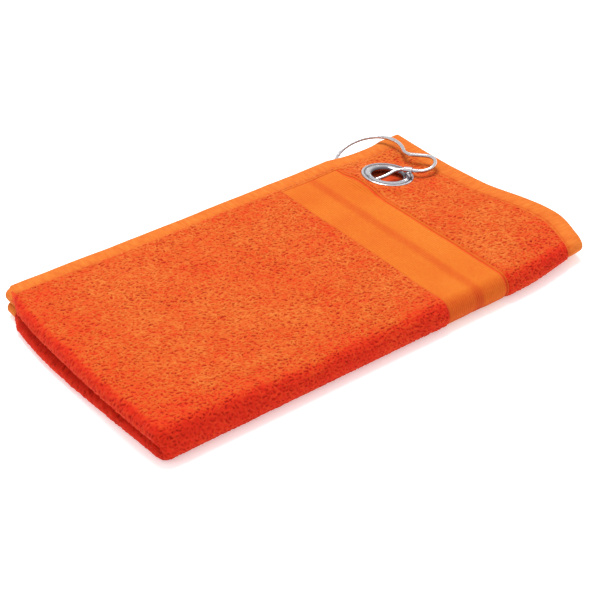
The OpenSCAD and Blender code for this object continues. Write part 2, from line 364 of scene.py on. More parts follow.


# Each ramp runs from the deep tone between the threads to their pale tips; for the pile, the inner pads,
# the border and the hems, the tone fed to it holds painted shade as well as the cloth's own variation.
terry_mat = cloth_material(
    "terry_cloth",
    [(0.0, (0.55, 0.016, 0.004)), (0.3, (0.59, 0.034, 0.006)),
     (0.65, (0.55, 0.086, 0.011)), (1.0, (0.62, 0.17, 0.030))],
    sheen=0.09, fibre_scale=2600, fibre_bump=0.5, patch=0.32,
)
weave_mat = cloth_material(
    "flat_woven_cloth",
    [(0.0, (0.44, 0.034, 0.005)), (0.35, (0.54, 0.088, 0.008)),
     (0.7, (0.60, 0.148, 0.013)), (1.0, (0.66, 0.22, 0.030))],
    sheen=0.09, fibre_scale=3200, fibre_bump=0.6, patch=0.25,
)
hem_mat = cloth_material(
    "hem_cloth",
    [(0.0, (0.44, 0.040, 0.006)), (0.35, (0.55, 0.105, 0.012)),
     (0.7, (0.62, 0.160, 0.022)), (1.0, (0.70, 0.24, 0.048))],
    sheen=0.09, fibre_scale=3200, fibre_bump=0.6, patch=0.3,
)
core_mat = cloth_material(
    "ground_weave",
    [(0.0, (0.48, 0.030, 0.006)), (0.5, (0.62, 0.060, 0.010)), (1.0, (0.70, 0.12, 0.02))],
    sheen=0.1, fibre_scale=2600, fibre_bump=0.6, patch=0.4,
)
thread_mat = cloth_material(
    "sewing_thread",
    [(0.0, (0.62, 0.10, 0.02)), (0.5, (0.76, 0.20, 0.045)), (1.0, (0.84, 0.30, 0.09))],
    sheen=0.1, fibre_scale=6000, fibre_bump=0.6, patch=0.2, rough=0.7,
)


def metal_material(name, colour, rough, scratch):
    m, nodes, links, shader = new_material(name)
    grain = texture_noise(nodes, links, 900, 5)
    vary = nodes.new("ShaderNodeMapRange")
    vary.inputs["To Min"].default_value = rough * 0.7
    vary.inputs["To Max"].default_value = rough * 1.5
    links.new(grain, vary.inputs["Value"])
    links.new(vary.outputs["Result"], shader.inputs["Roughness"])
    tint = ramp(nodes, [(0.3, tuple(c * 0.9 for c in colour)), (0.7, colour)])
    links.new(grain, tint.inputs["Fac"])
    darken(nodes, links, tint.outputs["Color"], shader.inputs["Base Color"], METAL_PAINTED_SHADE)
    shader.inputs["Metallic"].default_value = 1.0
    bump_from(nodes, links, grain, scratch, 0.00005, shader)
    return m


eyelet_mat = metal_material("eyelet_metal", (0.74, 0.73, 0.77), 0.14, 0.12)
hook_mat = metal_material("hook_metal", (0.62, 0.60, 0.62), 0.2, 0.12)

# ---- the folded cloth's own shape --------------------


def eye_distance(x, y):
    return np.hypot(x - EYE[0], y - EYE[1])


def eye_plane(x):
    """Height of the plane that the eyelet's tilt presses the cloth into."""
    return EYE[2] - MID - (x - EYE[0]) * math.tan(EYE_TILT)


def eye_weight(x, y):
    """1 where the cloth follows the eyelet's plane, 0 from 25 mm away."""
    return smooth((25 - eye_distance(x, y)) / 9)


def lower(x, y):
    """How far the top layer lies below its flat height: it slopes to the short edge and to the near
    corner, puffs unevenly away from the eyelet, and swells (the other way) at the crosswise fold."""
    slope = 0.9 * smooth((x - 92) / 30)
    corner = 2.0 * near_corner(x, y)
    puff = 0.35 * noise(x, y, 38, SEED + 1) + 0.25 * noise(x, y, 17, SEED + 2)
    keep = smooth((eye_distance(x, y) - 18) / 16)
    swell = 3.4 * smooth((-x - 35) / 75) * (0.3 + 0.7 * smooth((78 - y) / 60))
    return slope + corner + (puff + 0.1) * keep - 0.4 * corner_lift(x, y) - swell


def near_corner(x, y):
    """1 at the corner of the short edge and the long fold, 0 away from it."""
    return smooth((x - 70) / 55) * smooth((-y - 15) / 55)


def corner_lift(x, y):
    """1 at the back corner beside the eyelet, which stands up a little."""
    return smooth(1 - np.hypot(x - X_RIGHT, y - Y_BACK) / 22)


def bulge(x, y):
    """How far the two ends bow out along X: the short edge most at y = -45, the fold in its middle."""
    most = -45
    reach = np.where(y > most, 38.0, 30.0)
    short = 12.0 * np.exp(-(((y - most) / reach) ** 2)) * smooth((x - 62) / 63)
    folded = (4.5 + 3.0 * (1 - (y / 80) ** 2) - 1.5 * smooth((y - 30) / 45)) * smooth((-x - 20) / 105)
    return short - folded


def tuck(x, y):
    """How far the long fold draws back along Y at the short edge."""
    return 5.0 * smooth((x - 84) / 44) * smooth((-y - 20) / 50)


def draw_in(x):
    """How far the hook draws the back edge in."""
    middle, radius, depth = 93, 60.0, 3.0  # an arc of this radius bites so deep at x = middle
    d = radius - np.sqrt(np.maximum(radius**2 - (x - middle) ** 2, 0))
    return np.maximum(depth - d, 0) * (np.abs(x - middle) < radius - 1)


def lower_height(x, y, t):
    """Height of the outer layer of the lower half from MID: the near corner is thinner."""
    return H_OUT + t - 2.4 * near_corner(x, y)


def outer_z(x, y, t):
    """Height above the middle plane of the top layer at t above its middle, pressed at the eyelet."""
    flat = H_OUT + t - lower(x, y)
    half_pressed = 1.05  # half the layer's thickness under the eyelet's flange
    tilted = eye_plane(x) + np.clip(t, -half_pressed, half_pressed)
    press = 0.5 * smooth((46 - eye_distance(x, y)) / 16) * np.sign(t) * (np.abs(t) > 1)
    w = eye_weight(x, y)
    return (flat - press) * (1 - w) + tilted * w


def wrap_angle(s, flat_len):
    """s runs from the back edge: flat for flat_len, then round the fold. Angle from 0 to pi."""
    return np.clip((s - flat_len) / (0.5 * math.pi * FOLD_R), 0, 2) * (math.pi / 2)


def outer_point(x, s, t, y_start):
    """A point of the outer layer, t above its middle and s mm from y_start, over the fold and back
    below. Gives its wrap angle as well."""
    flat_len = y_start - Y_FOLD
    b = wrap_angle(s, flat_len)
    beyond = np.maximum(s - flat_len - math.pi * FOLD_R, 0)
    round_y = Y_FOLD - (FOLD_R - TERRY_T / 2 - 0.15 + t) * np.sin(b) + beyond
    y = np.where(s < flat_len, y_start - s, round_y)
    above = np.cos(b) > 0
    h = np.where(above, outer_z(x, np.minimum(y, Y_BACK), t), lower_height(x, y, t))
    pulled = np.where(above, draw_in(x) * smooth((y - 45) / 28), 0)
    return np.stack([x + bulge(x, y), y - pulled + tuck(x, y), MID + h * np.cos(b)], -1), b


def ring_point(u, s):
    """The pile's base: like outer_point, but where u < X_LEFT it runs on round the crosswise fold to
    the inner layer. The roll is thinner at the back edge, and grooved between the two halves."""
    p, b = outer_point(np.maximum(u, X_LEFT), s, PILE_BASE, Y_TERRY)
    above = np.cos(b) > 0
    from_back = smooth((np.minimum(s, S_TOTAL - s) + SPILL) / 12)
    below_r = 1.0 + 0.7 * smooth((p[..., 1] + 62) / 95) * from_back
    r = RING_OUT_R * np.where(above, 1.35, below_r)
    a = np.clip((X_LEFT - u) / RING_OUT_R, 0, math.pi)
    flatness = np.abs(np.cos(b))
    shrink = 0.72 + 0.28 * flatness
    groove = 1 - smooth(flatness * 2.4)
    first = np.sin(np.minimum(a, math.pi / 2))
    later = 1 - (1 - np.sin(a)) * (1 - groove)
    at_back = np.where(above, 0.5 + 0.5 * from_back, 0.95 + 0.05 * from_back)
    out = r * shrink * at_back * np.where(a < math.pi / 2, first, later)
    h = (p[..., 2] - MID) * (1 + np.cos(a)) / 2
    h = h + np.sign(np.cos(b)) * 0.9 * (1 - np.cos(a)) / 2 * smooth(flatness * 2)
    w = 1 - 0.45 * np.sin(np.minimum(a, math.pi / 2)) ** 2
    y = np.where(b > 0, Y_FOLD + (p[..., 1] - Y_FOLD) * w, p[..., 1])
    y = np.where(p[..., 1] > Y_FOLD, p[..., 1], y)
    return np.stack([p[..., 0] - out, y, MID + h], -1)


def spaced(start, end, step, length=None):
    """Even points from start to end about step apart: their number suits a pad's coarse back."""
    length = end - start if length is None else length
    return np.linspace(start, end, int(math.ceil(length / step / BACK_STEP)) * BACK_STEP + 1)


def edge_fade(u, lo, hi, width):
    return smooth((u - lo) / width) * smooth((hi - u) / width)


def sink(high, distance, width):
    """Let the relief sink by 1 mm over the last width mm before an edge of the pad."""
    rim = smooth(distance / width)
    return high * rim - (1 - rim)


def pile_height(u, s):
    """The loops' height, 0 to 1, and the relief in mm."""
    h = terry(u, s, SEED)
    tall = PILE_RELIEF * (0.85 + 0.2 * noise(u, s, 9, SEED + 5))
    return h, tall * (h - 0.55)


def pile_tone(u, s, h):
    """0 is deep red between the loops, 1 the pale tips, so the loops' height paints shade between them;
    painted shade also makes it redder towards the folds and the corners.
    """
    b = wrap_angle(s, FLAT_LEN)
    a = np.clip((X_LEFT - u) / RING_OUT_R, 0, math.pi)
    turned = np.maximum(smooth(np.sin(b) * 1.3), smooth(np.sin(a) * 1.3 + (a > math.pi / 2)))
    near_end = smooth((-u - 88) / 32)
    near_fold = smooth((s - FLAT_LEN + 16) / 16)
    corner = smooth((u - 82) / 30) * smooth((s - 95) / 30)
    # Painted shade: redder where the cloth turns round the folds, at the left end, by the long fold and
    # at the near corner.
    painted_side_shade = 0.42 * turned + 0.14 * near_end + 0.12 * near_fold + 0.15 * corner
    patch = 0.06 * noise(u, s, 21, SEED + 11) + 0.06 * noise(u, s, 6, SEED + 12)
    strip = 0.05 * smooth((u - X_BORD1) / 3)
    return 0.16 + 0.80 * h - painted_side_shade + patch + strip


def pile_attributes(u, s, h):
    """The tone, and painted shade in the gaps between the loops, which is weaker round the folds."""
    turned = smooth(np.sin(wrap_angle(s, FLAT_LEN))) + smooth((X_LEFT - u) / 3)
    clump = (0.75 + 0.5 * noise(u, s, 4.5, SEED + 14)) * (1 - 0.4 * np.minimum(turned, 1))
    return {"pile": pile_tone(u, s, h), "painted_shade": smooth(1 - h / 0.42) * np.clip(clump, 0.2, 1)}


upper, lower_body = "upper_half", "lower_half"


def mirrored(p):
    """The same points on the other side of MID."""
    q = p.copy()
    q[..., 2] = 2 * MID - q[..., 2]
    return q


def side_rims(high, uu, rim_left, rim_right):
    """Sink the pad's left and right edges, where it has a border or a hem beside it."""
    if rim_left:
        high = sink(high, uu - uu.min(), SIDE_RIM)
    if rim_right:
        high = sink(high, uu.max() - uu, SIDE_RIM)
    return high


def pile_pad(name, uu, ss, h, high, depth=PAD_DEPTH):
    """A pad of the outer layer's pile over the points (uu, ss)."""
    attrs = pile_attributes(uu, ss, h)
    obj = skin(name, ring_point(uu, ss), high, depth, terry_mat, attrs, flip=True)
    return obj


def terry_field(name, u0, u1, step, body, rim_left, rim_right):
    """A field of pile on the outer layer, from u0 to u1 and from the back edge to the fold."""
    below = body == lower_body
    start, end = -SPILL, FLAT_LEN - WRAP_REACH
    if below:
        start, end = FLAT_LEN + WRAP_LEN + WRAP_REACH, S_TOTAL + SPILL
    uu, ss = np.meshgrid(spaced(u0, u1, step), spaced(start, end, step))
    h, high = pile_height(uu, ss)
    calm = 1 - 0.75 * smooth((20 - eye_distance(uu, Y_TERRY - ss)) / 5)
    high = sink(high * calm, end - ss if below else ss - start, BACK_RIM)
    obj = pile_pad(name, uu, ss, h, side_rims(high, uu, rim_left, rim_right))
    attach(obj, body)
    return obj


def fold_blend(obj):
    """Bake the piece's transform into its mesh; the piece is attached to neither half."""
    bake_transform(obj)


def terry_wrap(name, u0, u1, rim_left, rim_right):
    """The pile that goes round the long fold, from the upper half to the lower half."""
    start, end = FLAT_LEN - WRAP_REACH, FLAT_LEN + WRAP_LEN + WRAP_REACH
    uu, ss = np.meshgrid(spaced(u0, u1, FINE), spaced(start, end, FINE))
    h, high = pile_height(uu, ss)
    obj = pile_pad(name, uu, ss, h, side_rims(high, uu, rim_left, rim_right))
    fold_blend(obj)


def strip_pad(name, back_part):
    """Half of the strip's pile: the two halves meet at the eyelet's middle, round its hole."""
    u0, u1 = STRIP
    u = spaced(u0, u1, FINE)
    notch = np.sqrt(np.maximum(HOLE_R**2 - (u - EYE[0]) ** 2, 0))
    start = np.full_like(u, -SPILL) if back_part else EYE_S + notch
    end = EYE_S - notch if back_part else np.full_like(u, FLAT_LEN - WRAP_REACH)
    share = spaced(0, 1, FINE, length=(end - start).max())
    ss = start + (end - start) * share[:, None]
    uu = u + 0 * ss
    h, high = pile_height(uu, ss)
    r = np.hypot(uu - EYE[0], ss - EYE_S)
    high = high * (1 - 0.7 * smooth((21 - r) / 5)) - 0.9 * smooth((15.5 - r) / 2)
    rim = smooth((uu - u0) / SIDE_RIM) * smooth((u1 - uu) / SIDE_RIM)
    if back_part:
        rim = rim * smooth((ss + SPILL) / BACK_RIM)
    obj = pile_pad(name, uu, ss, h, high * rim - (1 - rim), PAD_DEPTH - 0.6)
    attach(obj, upper)
    return obj


# The main field runs on round the crosswise fold at its left. The strip lies between border and hem.
FIELD = X_LEFT - RING_LEN, X_BORD0 + UNDER
STRIP = X_BORD1 - UNDER_STRIP, X_HEM + UNDER
top_left = terry_field("terry_top_left", FIELD[0], SPLIT_X, FINE, upper, False, False)
terry_field("terry_top_middle", SPLIT_X, FIELD[1], FINE, upper, False, True)
strip_back = strip_pad("terry_strip_back", True)
strip_pad("terry_strip_front", False)
terry_wrap("terry_wrap_left", *FIELD, False, True)
terry_wrap("terry_wrap_right", *STRIP, True, True)
bottom_left = terry_field("terry_bottom_left", *FIELD, ROUGH, lower_body, False, True)
bottom_right = terry_field("terry_bottom_right", *STRIP, ROUGH, lower_body, True, True)

# ---- the faces between the halves --------------------


def inner_pad(name, x0, x1, mirror, mat, woven):
    """A pad on the inner layer's face at the middle plane."""
    uu, vv = np.meshgrid(spaced(x0, x1, ROUGH), spaced(Y_INNER0, Y_TERRY, ROUGH))
    base = MID + 0.68
    p = np.stack([uu + bulge(uu, vv), vv + tuck(uu, vv), base + 0 * uu], -1)
    if woven:
        h = 0.6 + 0.4 * weave(uu, vv)
        high = 0.15 * (h - 0.6)
    else:
        h = terry(uu, vv, SEED + 40, pitch=1.9, loop=1.5, thick=0.85)
        high = 0.9 * (h - 0.6)
    hidden = 0 if x0 > X_LEFT + 1 else 9  # the left end runs into the fold, without a rim
    rim = edge_fade(uu, x0 - hidden, x1, 1.5) * smooth((Y_TERRY - vv) / 1.5)
    high = high * rim - 0.8 * (1 - rim)
    # The pads' tone is their loops' or threads' height, so the ramp paints shade between them.
    obj = skin(name, mirrored(p) if mirror else p, high, 0.8, mat, {"pile": h}, flip=not mirror)
    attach(obj, lower_body if mirror else upper)
    return obj


def weave(u, s):
    """Fine ribs along s with cross threads, from about -1 to 1."""
    rib = np.cos(2 * math.pi * (u + 0.12 * noise(u, s, 5, SEED + 60)) / 1.25)
    cross = np.cos(2 * math.pi * s / 0.95)
    return 0.7 * rib + 0.15 * cross + 0.3 * noise(u, s, 1.1, SEED + 61)


for mirror, half in ((False, "upper"), (True, "lower")):
    for name, x0, x1, mat, slot, woven in (
        ("terry_inner_", X_LEFT - 1, X_BORD0, terry_mat, "terry_cloth", False),
        ("terry_inner_strip_", X_BORD1, X_HEM, terry_mat, "terry_cloth", False),
        ("border_inner_", X_BORD0, X_BORD1, weave_mat, "flat_woven_cloth", True),
    ):
        inner_pad(name + half, x0, x1, mirror, mat, woven)

# ---- the flat woven border --------------------


# Places across the border, as shares of its width: a flat band between two raised ones, and a groove.
BAND0, BAND1, GROOVE = 0.40, 0.58, 0.955


def border_share(u):
    return (u - X_BORD0) / (X_BORD1 - X_BORD0)


def border_profile(u):
    """Height of the border's own bands across its width, in mm."""
    f = border_share(u)
    bands = 0.2 * smooth((BAND0 - f) / 0.08)
    bands = bands + 0.2 * smooth((f - BAND1) / 0.08)
    return bands - np.exp(-(((f - GROOVE) / 0.014) ** 2)) * 0.9


def border_outer():
    """The border of the outer layer, in one piece from the back edge round the long fold."""
    uu, ss = np.meshgrid(spaced(X_BORD0, X_BORD1, 0.32), spaced(0, S_TOTAL, 0.55))
    p, b = outer_point(uu, ss, TERRY_T / 2 - 0.95, Y_TERRY)
    threads = weave(uu, ss)
    rim = edge_fade(ss, 0, S_TOTAL, 1.5) * edge_fade(uu, X_BORD0, X_BORD1, 0.6)
    high = border_profile(uu) + 0.14 * threads + 0.12 * noise(uu, ss, 14, SEED + 62)
    high = high * rim - 0.7 * (1 - rim)
    f = border_share(uu)
    tone = 0.62 + 0.16 * threads - 0.22 * smooth((f - BAND0) / 0.1) * smooth((0.62 - f) / 0.08)
    # Painted shade: dark along the groove beside the pile's step, and darker where the border turns round
    # the long fold.
    tone = tone - 0.6 * np.exp(-(((f - GROOVE) / 0.018) ** 2)) + 0.1 * noise(uu, ss, 16, SEED + 63)
    tone = tone - 0.3 * smooth(np.sin(b) * 1.2)
    obj = skin("border_outer", p, high, 1.2, weave_mat, {"pile": tone}, flip=True)
    fold_blend(obj)
    return obj


border = border_outer()

# ---- hems --------------------


def section(n):
    """A rounded, flattened section, from -1 to 1 across and in thickness."""
    a = np.linspace(0, 2 * math.pi, n, endpoint=False)
    c, s = np.cos(a), np.sin(a)
    return np.sign(c) * np.abs(c) ** 0.35, np.sign(s) * np.abs(s) ** 0.6


def hem_strip(name, centre, across, out, half_w, seed, length):
    """Sweep a hem section: centre, across and out are (n, 3) arrays along the hem. The thread pulls
    it down along its seam, and the cloth puffs between the stitches."""
    n, m = len(centre), 36
    a, t = section(m)
    run = np.linspace(0, length, n)[:, None]
    crease = 0.5 + 0.5 * np.cos(2 * math.pi * run / STITCH_PITCH)
    seam = np.exp(-(((a[None] + SEAM_AT) / 0.16) ** 2))
    puff = 1 - 0.22 * seam * (0.6 + 0.4 * crease)
    wob = 1 + 0.05 * noise(run + 0 * a[None], a[None] * 5 + 0 * run, 6, seed)
    ribs = 0.05 * np.cos(2 * math.pi * run / 0.9) * (np.abs(t[None]) > 0.5)
    w = half_w * a[None] * (1 + 0.015 * noise(run, run * 0, 11, seed + 1))
    h = HEM_T / 2 * t[None] * puff * wob + ribs * np.sign(t[None])
    rings = centre[:, None] + across[:, None] * w[..., None] + out[:, None] * h[..., None]
    tone = 0.6 + 0.18 * noise(run * 3 + 0 * a[None], a[None] * 9 + 0 * run, 2.5, seed + 2)
    # Painted shade along the seam, where the thread pulls the cloth down.
    tone = tone - 0.35 * seam
    obj = tube(name, rings, hem_mat, {"pile": tone})
    return obj


def frame_along(path, across):
    """Unit vectors square to the path and to across."""
    d = np.gradient(path, axis=0)
    d = d / np.linalg.norm(d, axis=1, keepdims=True)
    out = np.cross(d, across)
    return out / np.linalg.norm(out, axis=1, keepdims=True)


def side_hem(name, mirror, body):
    """The hem of one half's back edge: over the outer layer, round the crosswise fold, and back
    along the inner layer. Gives the piece, its middle line and the directions out of it."""
    flat = np.arange(X_HEM + 2, X_LEFT, -HEM_STEP)
    middle = (Y_BACK + Y_TERRY) / 2
    drop = [0 if mirror else float(lower(np.array(x), np.array(middle))) for x in flat]
    top = [(x, H_OUT - d) for x, d in zip(flat, drop)]
    r = (H_OUT - HEM_IN) / 2
    angles = np.linspace(0, math.pi, 18)[1:-1]
    ring = [(X_LEFT - 0.98 * r * math.sin(a), HEM_IN + r + r * math.cos(a)) for a in angles]
    under = [(x, HEM_IN) for x in flat[::-1]]
    path = np.array(top + ring + under)
    y = np.full(len(path), middle)
    on_top = np.concatenate([np.ones(len(top)), np.zeros(len(ring) + len(under))])
    if not mirror:
        y = y - draw_in(path[:, 0]) * on_top
    y = y + 0.3 * noise(path[:, 0], on_top * 40, 26, SEED + 70)
    pts = np.stack([path[:, 0] + bulge(path[:, 0], y), y, MID + path[:, 1]], -1)
    across = np.tile([0.0, 1.0, 0.0], (len(pts), 1))
    out = frame_along(pts, across)
    length = float(np.linalg.norm(np.diff(pts, axis=0), axis=1).sum())
    if mirror:
        pts, out = mirrored(pts), out * [1, 1, -1]
    obj = hem_strip(name, pts, across, out, SIDE_W, SEED + 71 + mirror, length)
    if mirror:
        obj.data.flip_normals()
    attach(obj, body)
    return obj, pts, out


side_up, side_up_pts, side_up_out = side_hem("side_hem_cloth_upper", False, upper)
side_low, side_low_pts, side_low_out = side_hem("side_hem_cloth_lower", True, lower_body)


def end_hem_outer():
    """The outer layer's hem at the short edge, in one piece round the long fold."""
    total = 2 * (Y_BACK - Y_FOLD) + WRAP_LEN
    s = np.arange(HEM_STEP, total - HEM_STEP, HEM_STEP)
    x = np.full_like(s, (X_HEM + X_RIGHT) / 2)
    p, _ = outer_point(x, s, 0.0, Y_BACK)
    beside, _ = outer_point(x + 4, s, 0.0, Y_BACK)
    across = beside - p
    across = across / np.linalg.norm(across, axis=1, keepdims=True)
    out = -frame_along(p, across)
    obj = hem_strip("end_hem_cloth_outer", p, across, out, END_W, SEED + 80, total)
    obj.data.flip_normals()
    fold_blend(obj)
    return obj, p, out, across


def end_hem_inner(name, mirror, body):
    """The inner layer's hem at the short edge."""
    y = np.arange(Y_BACK - HEM_STEP, Y_INNER0, -HEM_STEP)
    x = np.full_like(y, (X_HEM + X_RIGHT) / 2 - 0.8)
    pts = np.stack([x + bulge(x, y), y + tuck(x, y), np.full_like(y, MID + HEM_IN)], -1)
    across = np.tile([1.0, 0.0, 0.0], (len(y), 1))
    out = np.tile([0.0, 0.0, 1.0], (len(y), 1))
    if mirror:
        pts, out = mirrored(pts), -out
    obj = hem_strip(name, pts, across, out, END_W, SEED + 82 + mirror, Y_BACK - Y_INNER0)
    if not mirror:
        obj.data.flip_normals()
    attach(obj, body)
    return obj, pts, out


end_out, end_out_pts, end_out_out, end_out_across = end_hem_outer()
end_up, end_up_pts, end_up_out = end_hem_inner("end_hem_cloth_inner_upper", False, upper)
end_low, end_low_pts, end_low_out = end_hem_inner("end_hem_cloth_inner_lower", True, lower_body)

# ---- stitches --------------------


def stitches(name, rows, body):
    """rows holds (points, outs): each stitch is a small arched thread between two of the points."""
    verts, quads, tris = [], [], []
    k, m = 6, 6  # rings along a stitch, and points round it
    for pts, outs in rows:
        seg = np.linalg.norm(np.diff(pts, axis=0), axis=1)
        run = np.concatenate([[0], np.cumsum(seg)])
        for start in np.arange(1.0, run[-1] - 3.0, STITCH_PITCH):
            t = np.linspace(start, start + STITCH, k)
            c = np.stack([np.interp(t, run, pts[:, i]) for i in range(3)], -1)
            o = np.stack([np.interp(t, run, outs[:, i]) for i in range(3)], -1)
            lift = 0.26 * np.sin(np.linspace(0, math.pi, k)) ** 0.6 - 0.16
            c = c + o * lift[:, None]
            d = c[-1] - c[0]
            d = d / np.linalg.norm(d)
            side = np.cross(d, o)
            a = np.linspace(0, 2 * math.pi, m, endpoint=False)
            r = THREAD_R * np.sin(np.linspace(0.5, math.pi - 0.5, k)) ** 0.4
            ring = c[:, None] + r[:, None, None] * (
                np.cos(a)[None, :, None] * side[:, None] + np.sin(a)[None, :, None] * o[:, None]
            )
            base = len(verts) * (k * m + 2)
            i = np.arange(k * m).reshape(k, m) + base
            j = np.roll(i, -1, axis=1)
            quads.append(np.stack([i[:-1], j[:-1], j[1:], i[1:]], -1).reshape(-1, 4)[:, ::-1])
            a0, b0 = base + k * m, base + k * m + 1
            tris += [(i[0, q], i[0, (q + 1) % m], a0) for q in range(m)]
            tris += [(i[-1, (q + 1) % m], i[-1, q], b0) for q in range(m)]
            verts.append(np.concatenate([ring.reshape(-1, 3), c[:1] - d * 0.1, c[-1:] + d * 0.1]))
    verts, quads = np.concatenate(verts), np.concatenate(quads)
    tone = np.full(len(verts), 0.5)
    obj = mesh_object(name, verts, quads, np.array(tris), thread_mat, {"pile": tone})
    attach(obj, body)
    return obj


def seam_row(pts, outs, shift, offset):
    """Move a hem's middle line across to its seam, and out to its surface."""
    return pts + shift + outs * offset, outs


def seams(mirror):
    """One half's rows of stitches: on its side hem, on its share of the outer end hem, and on its
    inner end hem."""
    side_pts, side_out = (side_low_pts, side_low_out) if mirror else (side_up_pts, side_up_out)
    end_pts, end_outs = (end_low_pts, end_low_out) if mirror else (end_up_pts, end_up_out)
    surface = HEM_T / 2 * SEAM_DIP
    clear = 12  # points of the outer hem without a stitch, each side of the long fold's middle
    half = len(end_out_pts) // 2 - clear
    part = slice(half + 2 * clear, None) if mirror else slice(0, half)
    to_seam = -end_out_across[part] * END_W * SEAM_AT
    return [
        seam_row(side_pts, -side_out, np.array([0, -SIDE_W * SEAM_AT, 0]), surface),
        seam_row(end_out_pts[part], end_out_out[part], to_seam, surface),
        seam_row(end_pts, -end_outs, np.array([-END_W * SEAM_AT, 0, 0]), surface),
    ]


stitches_up = stitches("stitching_upper", seams(False), upper)
stitches_low = stitches("stitching_lower", seams(True), lower_body)

# ---- the ground cloth that carries everything --------------------


def ground_cloth():
    """One continuous sheet, folded crosswise and lengthwise, through the middle of all four layers.
    It runs from the short edge of the outer layer round the crosswise fold to that of the inner."""
    edge_in, half_t = 4, 0.38
    x_end, y_end, r = X_RIGHT - edge_in, Y_BACK - edge_in, RING_R
    half = x_end - X_LEFT
    ring = math.pi * r
    p = np.linspace(0, 2 * half + ring, 201)
    on_ring = np.where(p < half + ring, X_LEFT, X_LEFT + p - half - ring)
    x_flat = np.where(p < half, x_end - p, on_ring)
    a = np.clip((p - half) / r, 0, math.pi)
    flat_len = y_end - Y_FOLD
    q = np.linspace(0, 2 * flat_len + WRAP_LEN, 141)
    b = wrap_angle(q, flat_len)
    y_flat = np.where(q < flat_len, y_end - q, Y_FOLD + np.maximum(q - flat_len - WRAP_LEN, 0))
    aa, bb = np.meshgrid(a, b)
    xx, yy = np.meshgrid(x_flat, y_flat)
    up = np.cos(bb) > 0
    outer = np.cos(aa) > 0
    h_outer = np.where(up, H_OUT - lower(xx, yy), lower_height(xx, yy, 0))
    w = eye_weight(xx, yy) * up
    h_outer = h_outer * (1 - w) + eye_plane(xx) * w
    near_hem = np.maximum(smooth((xx - X_HEM + 3) / 4), smooth((yy - Y_TERRY + 3) / 4))
    pressed = smooth((38 - np.hypot(xx - 88, yy - 57)) / 6) * up  # room under the eyelet
    h_inner = H_IN - np.maximum((H_IN - HEM_IN) * near_hem, (H_IN - 1.55) * pressed)
    h = (h_outer + h_inner) / 2 + (h_outer - h_inner) / 2 * np.cos(aa)
    ring_x = (h_outer - h_inner) / 2 * np.sin(aa)
    fold_y = 5.4 + 0.9 * np.cos(aa)
    shrink = np.where(bb > 0, 1 - 0.4 * np.sin(bb) * np.sin(aa), 1)
    x = xx - ring_x * shrink + bulge(xx, yy)
    pulled = np.where(up & outer, draw_in(xx) * smooth((yy - 45) / 28), 0)
    y = yy - fold_y * np.sin(bb) * shrink - pulled + tuck(xx, yy)
    pts = np.stack([x, y, MID + h * np.cos(bb)], -1)
    n = normals(pts)
    nv, nu = pts.shape[:2]
    faces = [(pts + n * half_t).reshape(-1, 3), (pts - n * half_t).reshape(-1, 3)]
    back = nv * nu
    edge = rim_loop(nv, nu)
    following = np.roll(edge, -1)
    quads = np.concatenate([
        grid_quads(nv, nu), grid_quads(nv, nu, back)[:, ::-1],
        np.stack([following, edge, edge + back, following + back], -1),
    ])
    tone = 0.5 + 0.2 * noise(xx + 3 * aa, yy + 5 * bb, 3, SEED + 90)
    obj = mesh_object(
        "ground_cloth", np.concatenate(faces), quads, np.zeros((0, 3), int), core_mat,
        {"pile": np.concatenate([tone.ravel(), tone.ravel()])},
    )
    hole = (eye_distance(xx, yy) < HOLE_R) & up & outer
    cut_hole(obj, np.concatenate([hole.ravel(), hole.ravel()]))
    fold_blend(obj)
    return obj


def cut_hole(obj, mask):
    """Remove the masked points and close the cut between the two faces of the sheet."""
    bm = bmesh.new()
    bm.from_mesh(obj.data)
    bm.verts.ensure_lookup_table()
    bmesh.ops.delete(bm, geom=[bm.verts[i] for i in np.nonzero(mask)[0]], context="VERTS")
    open_edges = [e for e in bm.edges if e.is_boundary]
    if open_edges:
        bmesh.ops.bridge_loops(bm, edges=open_edges)
    bmesh.ops.recalc_face_normals(bm, faces=bm.faces)
    bm.to_mesh(obj.data)
    bm.free()


cloth = ground_cloth()

# ---- the eyelet --------------------


def lathe(name, profile, shade_shares, segments, mat):
    """Turn a closed profile of (r, z) about the eyelet's tilted axis; its shade list paints shade onto
    each of its points.
    """
    a = np.linspace(0, 2 * math.pi, segments, endpoint=False)
    c, s = math.cos(EYE_TILT), math.sin(EYE_TILT)
    pts = []
    for r, z in profile:
        x, y, zz = r * np.cos(a), r * np.sin(a), z + 0 * a
        pts.append(np.stack([EYE[0] + x * c + zz * s, EYE[1] + y, EYE[2] - x * s + zz * c], -1))
    pts = np.array(pts)
    n, m = pts.shape[:2]
    i = np.arange(n * m).reshape(n, m)
    j = np.roll(i, -1, axis=1)
    i2, j2 = np.roll(i, -1, axis=0), np.roll(j, -1, axis=0)
    quads = np.stack([i, j, j2, i2], -1).reshape(-1, 4)
    attrs = {"painted_shade": np.repeat(shade_shares, m)}
    return mesh_object(name, pts.reshape(-1, 3), quads, np.zeros((0, 3), int), mat, attrs)


